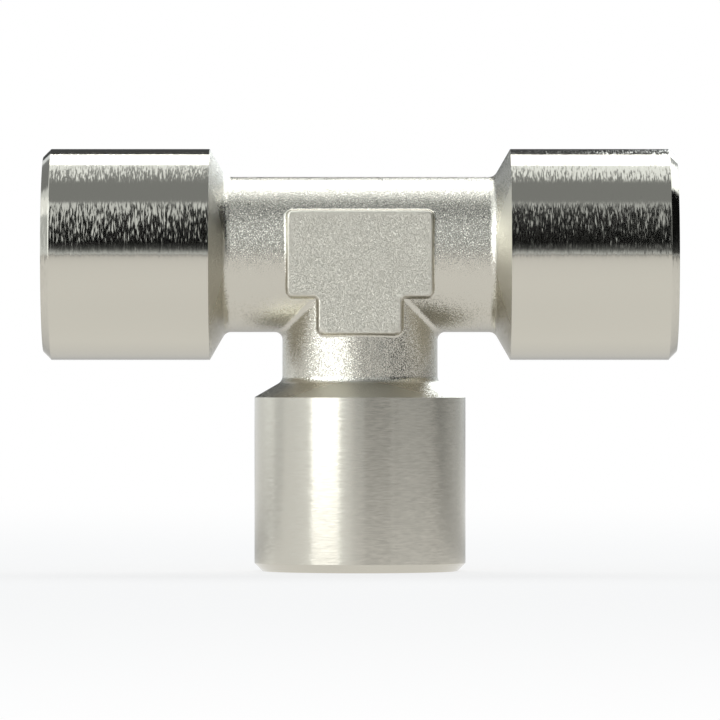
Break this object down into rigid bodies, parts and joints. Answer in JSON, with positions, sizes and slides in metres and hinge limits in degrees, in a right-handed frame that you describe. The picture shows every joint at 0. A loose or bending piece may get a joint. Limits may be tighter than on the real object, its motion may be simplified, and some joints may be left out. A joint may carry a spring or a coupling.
{
  "type": "threaded tee",
  "caption": "Nickel-plated brass pipe tee: a straight run and a branch at right angles, each ending in a round, internally threaded socket; raised T-shaped pads at the junction.",
  "frame": {"origin": "centre of the branch's end face, on which the tee stands", "axes": "+X along the run, +Z from the branch's mouth up to the run, front pad towards -Y"},
  "size_m": [0.051, 0.017, 0.034],
  "materials": {
    "nickel_plated_brass": "nickel plated: turned and bright on the sockets, satin forged skin on the necks and pads"
  },
  "bodies": {
    "root": {"tee_body": "nickel_plated_brass"}
  },
  "joints": []
}
